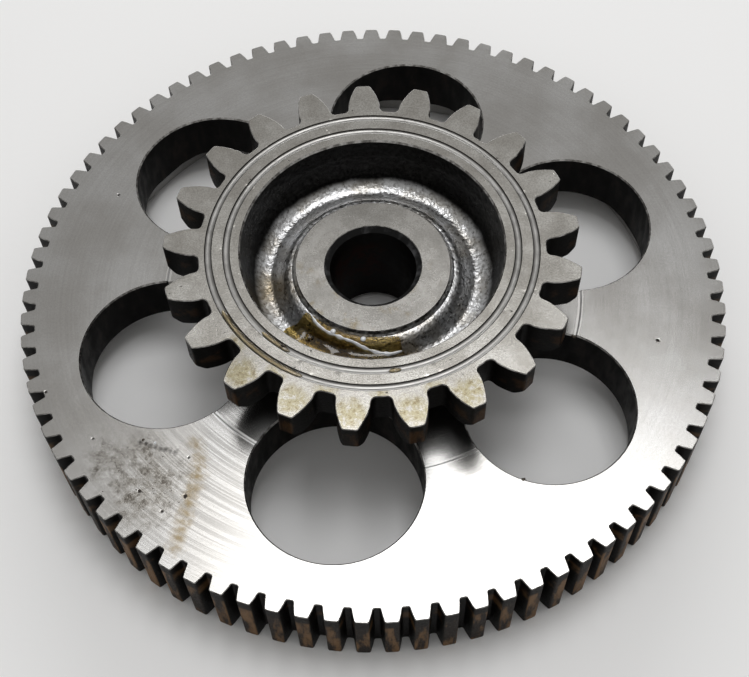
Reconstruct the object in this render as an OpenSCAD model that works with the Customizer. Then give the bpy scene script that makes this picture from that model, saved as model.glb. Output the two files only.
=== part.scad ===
// Double reduction gear: a fine-pitch wheel with six lightening holes and a
// coarse-pitch dished pinion, pressed together on one hub with a plain bore.
// Millimetres. +Z is the axis, pointing to the pinion side.
// Origin: on the axis, in the plane of the wheel's back face (its lowest face).

/* [Wheel teeth] */
// Number of teeth on the wheel
wheel_teeth = 83; // [60:1:100]
// Module of the wheel: reference diameter / teeth
wheel_module = 1.5; // [1:0.05:2.5]
// Pressure angle of the wheel's flanks, degrees
wheel_pressure_angle = 14.5; // [12:0.5:25]
// Tooth addendum, in modules
wheel_addendum = 1; // [0.6:0.05:1.2]
// Tooth dedendum, in modules (short stub tooth)
wheel_dedendum = 0.633; // [0.5:0.001:1.3]
// Tooth thickness at the reference circle, mm
wheel_tooth_thickness = 3.12; // [2:0.01:4]
// Root fillet radius, mm
wheel_root_fillet = 0.3; // [0.1:0.05:0.6]
// Angle of the first tooth space from +X, degrees
wheel_space_angle = -6.57; // [-180:0.01:180]

/* [Wheel body] */
// Face width of the wheel's rim
rim_width = 15; // [8:0.5:25]
// Inner radius of the rim, where the back recess starts
rim_inner_radius = 55.5; // [45:0.5:58]
// Thickness of the web between rim and hub
web_thickness = 10; // [4:0.5:15]
// Number of lightening holes
hole_count = 6; // [3:1:8]
// Radius of a lightening hole
hole_radius = 15; // [8:0.1:18]
// Radius of the circle the lightening holes sit on
hole_circle_radius = 39.3; // [30:0.1:45]
// Angle of the first lightening hole from +X, degrees
hole_angle = 21.1; // [0:0.1:60]
// Radius of the shallow turned recess in the front face
face_recess_radius = 37.9; // [30:0.1:45]
// Depth of that recess
face_recess_depth = 0.3; // [0.1:0.05:1]
// Radius of the wheel's hub boss on the back
back_boss_radius = 21; // [16:0.5:24]

/* [Pinion teeth] */
// Number of teeth on the pinion
pinion_teeth = 21; // [15:1:30]
// Module of the pinion
pinion_module = 3.175; // [2:0.005:4]
// Pressure angle of the pinion's flanks, degrees
pinion_pressure_angle = 20; // [14.5:0.5:25]
// Tooth addendum, in modules
pinion_addendum = 0.98; // [0.7:0.01:1.3]
// Tooth dedendum, in modules
pinion_dedendum = 0.973; // [0.8:0.001:1.4]
// Tooth thickness at the reference circle, mm
pinion_tooth_thickness = 5.2; // [4:0.01:6]
// Root fillet radius, mm
pinion_root_fillet = 1; // [0.4:0.05:1.5]
// Angle of the first tooth space from +X, degrees
pinion_space_angle = 16.26; // [-180:0.01:180]

/* [Pinion body] */
// Height of the pinion's front face above the wheel's front face
pinion_stand = 13; // [8:0.1:25]
// Face width of the pinion's teeth
pinion_width = 7.2; // [5:0.1:20]
// Chamfer on the back corner of the tooth tips
tooth_back_chamfer = 1.5; // [0.5:0.1:2.5]
// Height of the hub's front face above the wheel's front face
hub_stand = 6.6; // [3:0.1:12]
// Radius of the hub's front face
hub_radius = 14; // [11:0.1:18]
// Radius of the dish's mouth
dish_radius = 23; // [18:0.1:26]
// Radius of the dish's lowest circle
dish_floor_radius = 18.6; // [16:0.1:21]
// Depth of the dish below the pinion's front face
dish_depth = 9.8; // [6:0.1:11]
// Radius of the flange that seats on the wheel
seat_radius = 21.5; // [17:0.5:23]
// Middle radius of the inner face groove
inner_groove_radius = 25.4; // [24:0.05:27]
// Middle radius of the outer face groove
outer_groove_radius = 28.55; // [27:0.05:30]
// Width of the face grooves
groove_width = 1.3; // [0.6:0.05:2]
// Depth of the face grooves
groove_depth = 0.4; // [0.2:0.05:1]

/* [Bore and press fit] */
// Radius of the plain bore
bore_radius = 7.75; // [5:0.05:10]
// Chamfer at both mouths of the bore
bore_chamfer = 1; // [0.3:0.1:2]
// Radius of the pinion's spigot in the wheel
spigot_radius = 12.5; // [10:0.1:16]

/* [Hidden] */
$fn = 96;
wheel_ref_radius = wheel_module * wheel_teeth / 2;
wheel_tip_radius = wheel_ref_radius + wheel_addendum * wheel_module;
wheel_root_radius = wheel_ref_radius - wheel_dedendum * wheel_module;
pinion_ref_radius = pinion_module * pinion_teeth / 2;
pinion_tip_radius = pinion_ref_radius + pinion_addendum * pinion_module;
pinion_root_radius = pinion_ref_radius - pinion_dedendum * pinion_module;
seat_z = rim_width - face_recess_depth;
pinion_front_z = rim_width + pinion_stand;
pinion_back_z = pinion_front_z - pinion_width;
hub_front_z = rim_width + hub_stand;
dish_floor_z = pinion_front_z - dish_depth;
back_recess_depth = rim_width - web_thickness;

// ---- involute tooth outline --------------------------------------------

function deg(a) = a * 180 / PI;
// involute function of the pressure angle at radius r, in degrees
function press_at(r, rb) = r <= rb ? 0 : acos(rb / r);
function inv(a) = deg(tan(a)) - a;
// half angle of the tooth space at radius r, in degrees
function space_half(r, z, rr, pa, s) =
    180 / z - (deg(s / (2 * rr)) + inv(pa) - inv(press_at(r, rr * cos(pa))));
function polar(r, a) = [r * cos(a), r * sin(a)];

// One side of a tooth space, from its middle to the tooth's middle.
function half_space(z, rr, ra, rf, pa, s, f, nf, ni) =
    let (rb = rr * cos(pa),
         rc = rf + f,
         al = press_at(rc, rb),
         gc = space_half(max(rc, rb), z, rr, pa, s),
         ac = gc - deg(f / (rc * cos(al))),
         rt = max(rc - f * sin(al), rb))
    concat(
        [for (i = [0 : nf])
            let (b = 180 - i / nf * (90 - al))
            polar(rc, ac) + f * [cos(b + ac), sin(b + ac)]],
        [for (i = [1 : ni])
            let (r = rt + (ra - rt) * i / ni)
            polar(r, space_half(r, z, rr, pa, s))],
        [polar(ra, 180 / z)]);

function mirrored(p) = [for (i = [len(p) - 2 : -1 : 0]) [p[i][0], -p[i][1]]];
function turned(p, a) =
    [for (q = p) [q[0] * cos(a) - q[1] * sin(a), q[0] * sin(a) + q[1] * cos(a)]];

module gear_outline(z, rr, ra, rf, pa, s, f, nf, ni, first) {
    side = half_space(z, rr, ra, rf, pa, s, f, nf, ni);
    space = concat(mirrored(side), side);
    polygon([for (k = [0 : z - 1]) each turned(space, first + k * 360 / z)]);
}

// ---- wheel --------------------------------------------------------------

module wheel() color([0.62, 0.62, 0.63]) difference() {
    linear_extrude(rim_width)
        gear_outline(wheel_teeth, wheel_ref_radius, wheel_tip_radius,
                     wheel_root_radius, wheel_pressure_angle,
                     wheel_tooth_thickness, wheel_root_fillet, 2, 3,
                     wheel_space_angle);
    // seat for the pinion's spigot
    translate([0, 0, -1]) cylinder(h = rim_width + 2, r = spigot_radius);
    // shallow turned recess in the front face, with a bevelled step
    rotate_extrude() polygon([
        [0, seat_z], [face_recess_radius - face_recess_depth, seat_z],
        [face_recess_radius, rim_width],
        [face_recess_radius + 1, rim_width + 1], [0, rim_width + 1]]);
    // recess in the back between the rim and the hub boss
    rotate_extrude() polygon([
        [back_boss_radius - 1, -1], [rim_inner_radius + 1, -1],
        [rim_inner_radius, 0], [rim_inner_radius - 0.8, back_recess_depth - 1.5],
        [rim_inner_radius - 2.3, back_recess_depth],
        [back_boss_radius + 2.3, back_recess_depth],
        [back_boss_radius + 0.8, back_recess_depth - 1.5],
        [back_boss_radius, 0]]);
    // lightening holes
    for (k = [0 : hole_count - 1]) rotate(hole_angle + k * 360 / hole_count)
        translate([hole_circle_radius, 0, -1])
            cylinder(h = rim_width + 2, r = hole_radius);
}

// ---- pinion with its hub ------------------------------------------------

// half-elliptic groove in the face, as a closed outline
function groove(r) = concat(
    [[r - groove_width / 2, pinion_front_z + 1]],
    [for (i = [0 : 8]) let (a = 180 + i * 22.5)
        [r + groove_width / 2 * cos(a), pinion_front_z + groove_depth * sin(a)]],
    [[r + groove_width / 2, pinion_front_z + 1]]);

// the dish between the rim and the hub, as points from mouth to hub
dish_wall_foot = dish_floor_z + 0.62 * (pinion_front_z - dish_floor_z);
hub_shoulder = [hub_radius + 0.5, hub_front_z - 0.9];
dish_points = concat(
    [[dish_radius + 0.3, pinion_front_z], [dish_radius, pinion_front_z - 0.3]],
    [for (i = [0 : 8]) let (a = i * 11.25)
        [dish_floor_radius + (dish_radius - 0.3 - dish_floor_radius) * cos(a),
         dish_wall_foot - (dish_wall_foot - dish_floor_z) * sin(a)]],
    [for (i = [1 : 8]) let (t = i / 8)
        [dish_floor_radius + (hub_shoulder[0] - dish_floor_radius) * t,
         dish_floor_z + (hub_shoulder[1] - dish_floor_z) * (1 - cos(180 * t)) / 2]],
    [[hub_radius + 0.1, hub_front_z - 0.5], [hub_radius, hub_front_z - 0.25],
     [hub_radius - 0.25, hub_front_z]]);

// everything of the pinion inside the tooth roots, turned about the axis
module pinion_turned() rotate_extrude() polygon(concat(
    [[spigot_radius - 0.6, 0], [spigot_radius, 0.6], [spigot_radius, seat_z],
     [seat_radius, seat_z], [seat_radius + 0.6, seat_z + 0.6],
     [28.6, pinion_back_z], [pinion_tip_radius - tooth_back_chamfer, pinion_back_z],
     [pinion_tip_radius + 1, pinion_back_z + tooth_back_chamfer + 1],
     [pinion_tip_radius + 1, pinion_front_z]],
    dish_points,
    [[bore_radius + bore_chamfer, hub_front_z],
     [bore_radius, hub_front_z - bore_chamfer],
     [bore_radius, bore_chamfer], [bore_radius + bore_chamfer, 0]]));

module pinion() color([0.66, 0.65, 0.62]) difference() {
    intersection() {
        pinion_turned();
        linear_extrude(pinion_front_z + 1)
            gear_outline(pinion_teeth, pinion_ref_radius, pinion_tip_radius,
                         pinion_root_radius, pinion_pressure_angle,
                         pinion_tooth_thickness, pinion_root_fillet, 4, 7,
                         pinion_space_angle);
    }
    rotate_extrude() polygon(groove(inner_groove_radius));
    rotate_extrude() polygon(groove(outer_groove_radius));
}

wheel();
pinion();
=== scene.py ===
"""Looks of the double reduction gear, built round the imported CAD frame.

The wheel and the pinion are rebuilt as detailed meshes with broken edges, a
forged dish, nicks and machined grooves. Oil and grit lie on them.
Lengths below are millimetres in the CAD frame; MM turns them into metres.
Places on a face are (radius, angle), with angles in degrees from +X.
"""

import math
import random

import bmesh
import bpy
import numpy as np
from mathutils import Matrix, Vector, geometry, noise


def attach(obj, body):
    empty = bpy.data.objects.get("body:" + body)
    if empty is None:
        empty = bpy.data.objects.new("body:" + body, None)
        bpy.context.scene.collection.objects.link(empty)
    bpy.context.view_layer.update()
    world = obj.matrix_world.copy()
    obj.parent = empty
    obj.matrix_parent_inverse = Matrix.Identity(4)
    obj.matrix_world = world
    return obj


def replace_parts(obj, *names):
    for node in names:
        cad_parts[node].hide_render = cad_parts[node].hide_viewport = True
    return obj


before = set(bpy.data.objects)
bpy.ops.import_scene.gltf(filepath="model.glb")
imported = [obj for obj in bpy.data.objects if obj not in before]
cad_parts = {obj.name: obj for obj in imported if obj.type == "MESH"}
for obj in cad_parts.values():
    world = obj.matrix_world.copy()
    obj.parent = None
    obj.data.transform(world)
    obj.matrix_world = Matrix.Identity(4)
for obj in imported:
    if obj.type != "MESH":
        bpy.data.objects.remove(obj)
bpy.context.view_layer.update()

MM = 0.001
TAU = 2 * math.pi
SEED = 21

# ---- sizes ----------------------------------------------------------------



def gear(teeth, module, addendum, dedendum, **rest):
    """A gear's sizes. rest holds the pressure angle, tooth thickness, root fillet and first space."""
    ref = module * teeth / 2
    return {"teeth": teeth, "ref": ref, "tip": ref + addendum, "root": ref - dedendum, **rest}


WHEEL_TEETH = gear(83, 1.5, 1.5, 0.95, pressure=14.5, thick=3.12, fillet=0.3, first=-6.57)
PINION_TEETH = gear(21, 3.175, 3.1115, 3.0895, pressure=20.0, thick=5.2, fillet=1.0, first=16.26)
RIM_WIDTH = 15.0
RECESS_RADIUS, RECESS_DEPTH = 37.9, 0.3
HOLE_COUNT, HOLE_RADIUS, HOLE_CIRCLE, HOLE_ANGLE = 6, 15.0, 39.3, 21.1
HOLE_CHAMFER = 0.25
SPIGOT_RADIUS = 12.5
SEAT_Z = RIM_WIDTH - RECESS_DEPTH
BACK_BOSS_RADIUS, RIM_INNER_RADIUS, WEB_BACK_Z = 21.0, 55.5, 5.0
# the sides of the back recess: distance from the recess's mouth, and depth
RECESS_SIDE = ((-0.4, 0.0), (0.0, 0.3), (0.8, WEB_BACK_Z - 1.5), (1.3, WEB_BACK_Z - 0.7), (2.3, WEB_BACK_Z))
# the wheel's back face from the spigot seat outwards, as (radius, height)
BACK_PROFILE = ([(SPIGOT_RADIUS + 0.4, 0.0)]
                + [(BACK_BOSS_RADIUS + run, rise) for run, rise in RECESS_SIDE]
                + [(RIM_INNER_RADIUS - run, rise) for run, rise in reversed(RECESS_SIDE)])
FRONT_Z, BACK_Z = 28.0, 20.8
TIP_CHAMFER = 1.5
HUB_Z, HUB_RADIUS = 21.6, 14.0
BORE_RADIUS, BORE_CHAMFER = 7.75, 1.0
SPIGOT_CHAMFER = 0.6
SEAT_RADIUS, SEAT_BEVEL = 21.5, 0.6
NECK_TOP_RADIUS = 28.6
DISH_RADIUS, FLOOR_RADIUS, FLOOR_Z = 23.0, 18.6, 18.2
GROOVES = (25.4, 28.55)
GROOVE_WIDTH, GROOVE_DEPTH = 1.3, 0.4
FACE_RING = 29.65  # inside it the pinion is turned, and outside it the teeth begin
EDGE_BREAK = 0.14
TURNS = 600  # points round a turned loop

# ---- places of the marks --------------------------------------------------

# spots on the wheel's face: radius, angle, spot radius, fade, raggedness, scale of the ragged edge
TOOL_MARK_PATCHES = ((50, 236, 13, 9, 6, 0.1), (42, 232, 6, 4, 3, 0.2), (55, 262, 8, 8, 6, 0.1))
STAINS = ((55.5, 227, 6, 3, 7, 0.6), (57, 219, 3.5, 2.5, 5, 0.6), (52, 222, 3.5, 3, 6, 0.6))
FAINT_STAIN = (50.5, 231, 3, 3, 6, 0.6)
STAIN_RADII, STAIN_ANGLES = (45, 61), (192, 240)
GRIT_RADIUS, GRIT_ANGLE = (55, 2.6), (227, 4.0)  # middle and spread
# a path starts at a place and then moves outwards by run and round by turn
STREAK = {"start": (44, 227), "run": 16, "turn": 11, "bend": 0.5, "count": 12}
SMEAR = {"start": (50.5, 219), "run": -3.2, "turn": 6.5, "bend": 1, "count": 8}
LONE_PITS = ((52, 347, 0.34), (53, 157, 0.28))  # radius, angle, size
# honey-coloured stains in the dish, as spots
HONEY = ((18.5, 248, 6, 4, 4, 0.3), (18, 190, 3, 3, 4, 0.4), (18, 290, 3, 3, 4, 0.4))
RUST_ANGLE = 122
NEAR_TEETH = range(12, 17)  # the pinion's teeth on the camera's side
POOL_ANGLES, POOL_RADII = (211, 303), (14.35, 20.9)
POOL_RAMPS = (16, 30)  # degrees in which the pool's two ends rise to full depth
MENISCUS_ANGLES = (222.0, 288.0)
# oil in the face grooves: piece, first angle, last angle, groove
GROOVE_OIL = (("oil_groove_outer", 208, 247, GROOVES[1]), ("oil_groove_inner", 224, 238, GROOVES[0]),
              ("oil_groove_drop", 276.5, 281.5, GROOVES[0]))
DISH_DROP = (17.5, 231, 0.85)  # radius, angle, size
DISH_BUBBLES = ((18, 230, 0.3), (15, 243, 0.5), (15, 264, 0.5))
WHEEL_BUBBLE = (48.8, 221)
WHEEL_CHIP, GROOVE_CHIP = (50, 219, 0.26), (25, 234.5, 0.4)
# swarf on the lightening holes' edges, as the hole's number and the angle round it
HOLE_SWARF = ((4, 95), (4, 100), (5, 250), (1, 200), (5, 70))


# ---- outlines -------------------------------------------------------------

def polar(r, a):
    return np.array([r * math.cos(a), r * math.sin(a)])


def polar_deg(r, degrees):
    return polar(r, math.radians(degrees))


def tooth_outline(g, n_fillet, n_flank, n_tip, corner):
    """The gear's outline, anticlockwise, with involute flanks and tip corners rounded by corner mm."""
    z, rr, ra, rf, f = g["teeth"], g["ref"], g["tip"], g["root"], g["fillet"]
    pressure = math.radians(g["pressure"])
    rb = rr * math.cos(pressure)

    def press_at(r):
        return math.acos(min(1.0, rb / r))

    def inv(a):
        return math.tan(a) - a

    def half(r):
        return math.pi / z - (g["thick"] / (2 * rr) + inv(pressure) - inv(press_at(r)))

    rc = rf + f
    lean = press_at(rc)
    centre_angle = half(max(rc, rb)) - f / (rc * math.cos(lean))
    start = max(rc - f * math.sin(lean), rb)
    centre = polar(rc, centre_angle)
    side = [polar(rf, 0.0)]
    for i in range(n_fillet + 1):
        b = math.pi - i / n_fillet * (math.pi / 2 - lean) + centre_angle
        side.append(centre + f * np.array([math.cos(b), math.sin(b)]))
    for i in range(1, n_flank + 1):
        r = start + (ra - corner - start) * i / n_flank
        side.append(polar(r, half(r)))
    flank_end, tip_corner = side[-1], polar(ra, half(ra))
    land_start = half(ra) + corner / ra
    land = polar(ra, land_start)
    for t in (0.3, 0.7):
        side.append((1 - t) ** 2 * flank_end + 2 * t * (1 - t) * tip_corner + t * t * land)
    for i in range(n_tip + 1):
        side.append(polar(ra, land_start + (math.pi / z - land_start) * i / n_tip))
    side = np.array(side)
    space = np.vstack([side[-2:0:-1] * [1, -1], side])
    loops = []
    for k in range(z):
        a = math.radians(g["first"]) + k * TAU / z
        c, s = math.cos(a), math.sin(a)
        loops.append(space @ np.array([[c, s], [-s, c]]))
    return np.vstack(loops)


def inset(loop, depth):
    """An anticlockwise loop moved into the material by depth."""
    def outwards(run):
        return np.stack([run[:, 1], -run[:, 0]], 1) / np.linalg.norm(run, axis=1)[:, None]

    before, after = outwards(loop - np.roll(loop, 1, 0)), outwards(np.roll(loop, -1, 0) - loop)
    middle = before + after
    middle /= np.linalg.norm(middle, axis=1)[:, None]
    stretch = np.clip((middle * before).sum(1), 0.5, 1)[:, None]
    return loop - middle * depth / stretch


def circle(r, n=TURNS):
    a = np.arange(n) * TAU / n
    return np.stack([r * np.cos(a), r * np.sin(a)], 1)


def tooth_angle(k):
    """The middle of the pinion's tooth k, in degrees."""
    return PINION_TEETH["first"] + (k + 0.5) * 360 / PINION_TEETH["teeth"]


def path_places(path):
    """Even places along a path on a face; a bend below 1 turns it most at its start."""
    (r, a), shares = path["start"], np.linspace(0, 1, path["count"])
    return [(r + path["run"] * t, a + path["turn"] * t ** path["bend"]) for t in shares]


def hole_centres():
    return [polar_deg(HOLE_CIRCLE, HOLE_ANGLE + k * 360 / HOLE_COUNT) for k in range(HOLE_COUNT)]


def crossings(radius, ring):
    """Where a ring about the axis crosses a lightening hole, as angles from the outward direction."""
    c = (ring ** 2 - HOLE_CIRCLE ** 2 - radius ** 2) / (2 * HOLE_CIRCLE * radius)
    return [math.acos(c), TAU - math.acos(c)] if abs(c) < 1 else []


def hole_angles(radius, rings, n=168):
    """Even angles round a hole, with the ring crossings put in exactly."""
    exact = sorted(a for ring in rings for a in crossings(radius, ring))
    even = [i * TAU / n for i in range(n)]
    return sorted(exact + [a for a in even if all(abs(a - e) > TAU / n * 0.45 for e in exact)])


def inside(points, loop):
    """Which points lie inside a closed loop."""
    a, b = loop, np.roll(loop, -1, 0)
    found = []
    for block in np.array_split(points, max(1, len(points) // 1500)):
        x, y = block[:, 0, None], block[:, 1, None]
        across = (a[:, 1] > y) != (b[:, 1] > y)
        rise = np.where(across, b[:, 1] - a[:, 1], 1.0)
        left = x < (b[:, 0] - a[:, 0]) * (y - a[:, 1]) / rise + a[:, 0]
        found.append((across & left).sum(1) % 2 == 1)
    return np.concatenate(found)


# ---- mesh building --------------------------------------------------------

class Shell:
    """A mesh being put together from loops that share their vertices."""

    def __init__(self):
        self.points, self.faces, self.finish = [], [], []

    def add(self, flat, z):
        first = len(self.points)
        heights = np.broadcast_to(z, (len(flat),))
        self.points += [(x, y, h) for (x, y), h in zip(flat, heights)]
        return list(range(first, len(self.points)))

    def face(self, corners, finish):
        kept = [c for i, c in enumerate(corners) if c != corners[i - 1]]
        if len(kept) > 2:
            self.faces.append(kept)
            self.finish.append(finish)

    def strip(self, a, b, finish):
        """A closed band of quads between two loops."""
        for i in range(len(a)):
            self.face([a[i - 1], a[i], b[i], b[i - 1]], finish)

    def region(self, outer, holes, height, finish, guides=(), spare=()):
        """Fills the area between loops; finish is a number or a function of the radius.

        Guides are open chains that edges must follow, and spare points lie between them.
        Returns the vertex numbers of the outer loop and of each hole.
        """
        loops = [outer, *holes]
        points, edges = [], []
        for loop in loops:
            first = len(points)
            points += [tuple(p) for p in loop]
            edges += [(first + i, first + (i + 1) % len(loop)) for i in range(len(loop))]
        border = len(points)
        for chain in guides:
            first = len(points)
            points += [tuple(p) for p in chain]
            edges += [(first + i, first + i + 1) for i in range(len(chain) - 1)]
        points += [tuple(p) for p in spare]
        flat, _, tris, source, _, _ = geometry.delaunay_2d_cdt(
            [Vector(p) for p in points], edges, [], 0, 1e-6, True)
        flat = np.array([tuple(p) for p in flat])
        tris = np.array([tuple(t) for t in tris])
        middles = flat[tris].mean(1)
        keep = inside(middles, np.array(outer))
        for hole in holes:
            keep &= ~inside(middles, np.array(hole))
        base = self.add(flat, [height(math.hypot(x, y)) for x, y in flat])[0]
        for t, middle in zip(tris[keep], middles[keep]):
            kind = finish(math.hypot(*middle)) if callable(finish) else finish
            self.face([base + int(i) for i in t], kind)
        where = {}
        for made, given in enumerate(source):
            for g in given:
                where[g] = base + made
        numbers = [where[i] for i in range(border)]
        out, at = [], 0
        for loop in loops:
            out.append(numbers[at:at + len(loop)])
            at += len(loop)
        return out[0], out[1:]

    def piece(self, name, materials, smooth_below=33):
        """The finished object, in metres, riding on the one body."""
        mesh = bpy.data.meshes.new(name)
        mesh.from_pydata([tuple(c * MM for c in p) for p in self.points], [], self.faces)
        for m in materials:
            mesh.materials.append(m)
        mesh.polygons.foreach_set("material_index", self.finish)
        tidy = bmesh.new()
        tidy.from_mesh(mesh)
        loose = [v for v in tidy.verts if not v.link_faces]
        bmesh.ops.delete(tidy, geom=loose, context="VERTS")
        bmesh.ops.recalc_face_normals(tidy, faces=tidy.faces)
        tidy.to_mesh(mesh)
        tidy.free()
        mesh.shade_smooth()
        mesh.set_sharp_from_angle(angle=math.radians(smooth_below))
        made = bpy.data.objects.new(name, mesh)
        bpy.context.scene.collection.objects.link(made)
        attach(made, "root")
        return made


# ---- material building ----------------------------------------------------

class Nodes:
    """Short names for the shader nodes of one material."""

    def __init__(self, name):
        self.material = bpy.data.materials.new(name)
        self.material.use_nodes = True
        self.tree = self.material.node_tree
        self.shader = self.tree.nodes["Principled BSDF"]
        spot = self.node("ShaderNodeTexCoord").outputs["Object"]
        self.mm = self.vector("SCALE", spot, scale=1 / MM)
        parts = self.node("ShaderNodeSeparateXYZ", {0: self.mm}).outputs
        self.y, self.z = parts["Y"], parts["Z"]
        self.flat = self.vector("MULTIPLY", self.mm, (1, 1, 0))
        self.r = self.vector("LENGTH", self.flat)
        way = self.vector("NORMALIZE", self.flat)
        rise = self.node("ShaderNodeCombineXYZ", {2: self.r}).outputs[0]
        # runs slowly round the axis and quickly along the radius, and the other way about
        self.rings = self.vector("ADD", self.vector("SCALE", way, scale=0.45), rise)
        self.spokes = self.vector("ADD", self.vector("SCALE", way, scale=60.0),
                                  self.vector("SCALE", rise, scale=0.25))

    def node(self, kind, inputs=None, **settings):
        made = self.tree.nodes.new(kind)
        for key, value in settings.items():
            setattr(made, key, value)
        for key, value in (inputs or {}).items():
            if isinstance(value, bpy.types.NodeSocket):
                self.tree.links.new(value, made.inputs[key])
            else:
                made.inputs[key].default_value = value
        return made

    def vector(self, operation, a, b=None, scale=None):
        inputs = {0: a}
        if b is not None:
            inputs[1] = b
        if scale is not None:
            inputs["Scale"] = scale
        made = self.node("ShaderNodeVectorMath", inputs, operation=operation)
        return made.outputs["Value" if operation in ("LENGTH", "DISTANCE") else "Vector"]

    def math(self, operation, a, b=0.0):
        return self.node("ShaderNodeMath", {0: a, 1: b}, operation=operation).outputs[0]

    def noise(self, where, scale, detail=3.0, rough=0.55):
        inputs = {"Vector": where, "Scale": scale, "Detail": detail, "Roughness": rough}
        return self.node("ShaderNodeTexNoise", inputs).outputs["Fac"]

    def cells(self, where, scale):
        return self.node("ShaderNodeTexVoronoi", {"Vector": where, "Scale": scale}).outputs["Distance"]

    def band(self, value, low, high, out_low=0.0, out_high=1.0):
        """value from low to high, smoothly, as out_low to out_high."""
        inputs = {"Value": value, "From Min": low, "From Max": high,
                  "To Min": out_low, "To Max": out_high}
        made = self.node("ShaderNodeMapRange", inputs, interpolation_type="SMOOTHSTEP")
        return made.outputs["Result"]

    def spot(self, r, degrees, radius, soft, ragged=0.0, scale=0.6):
        """1 within radius mm of a place on the face, fading over soft mm, with a ragged edge."""
        x, y = polar_deg(r, degrees)
        gap = self.vector("DISTANCE", self.flat, (x, y, 0))
        if ragged:
            wander = self.math("SUBTRACT", self.noise(self.mm, scale, 4), 0.5)
            gap = self.math("ADD", gap, self.math("MULTIPLY", wander, ragged))
        return self.band(gap, radius - soft, radius + soft, 1.0, 0.0)

    def spots(self, places):
        """1 where any of the spots is; each has the arguments of spot."""
        return self.most(*(self.spot(*place) for place in places))

    def times(self, *values):
        out = values[0]
        for v in values[1:]:
            out = self.math("MULTIPLY", out, v)
        return out

    def most(self, *values):
        out = values[0]
        for v in values[1:]:
            out = self.math("MAXIMUM", out, v)
        return out

    def mix(self, factor, a, b):
        def full(c):
            return (*c, 1.0) if isinstance(c, tuple) else c
        inputs = {0: factor, 6: full(a), 7: full(b)}
        return self.node("ShaderNodeMix", inputs, data_type="RGBA").outputs[2]

    def bump(self, height, depth, under=None):
        """Bump of depth mm for a height from 0 to 1."""
        inputs = {"Height": height, "Distance": depth * MM, "Strength": 1.0}
        if under is not None:
            inputs["Normal"] = under
        return self.node("ShaderNodeBump", inputs).outputs["Normal"]

    def done(self, colour, rough, normal=None, metallic=1.0, **fixed):
        """Joins the shader's inputs up, or sets them where they are constant."""
        given = {"Base Color": colour, "Roughness": rough, "Normal": normal, "Metallic": metallic}
        for name, value in given.items():
            if value is None:
                continue
            if isinstance(value, bpy.types.NodeSocket):
                self.tree.links.new(value, self.shader.inputs[name])
            else:
                self.shader.inputs[name].default_value = value
        for name, value in fixed.items():
            self.shader.inputs[name.replace("_", " ")].default_value = value
        return self.material

    def turned(self, amount):
        """Highlights drawn out across the turning marks."""
        tangent = self.node("ShaderNodeTangent", direction_type="RADIAL", axis="Z").outputs[0]
        self.tree.links.new(tangent, self.shader.inputs["Tangent"])
        self.shader.inputs["Anisotropic"].default_value = amount


def pit_places():
    """The lone pits and a scatter of small ones in the stained quarter, as (radius, angle, size)."""
    draw = random.Random(SEED + 3)
    scatter = [(draw.uniform(*STAIN_RADII), draw.uniform(*STAIN_ANGLES), draw.uniform(0.18, 0.3))
               for _ in range(7)]
    return [*LONE_PITS, *scatter]


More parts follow.
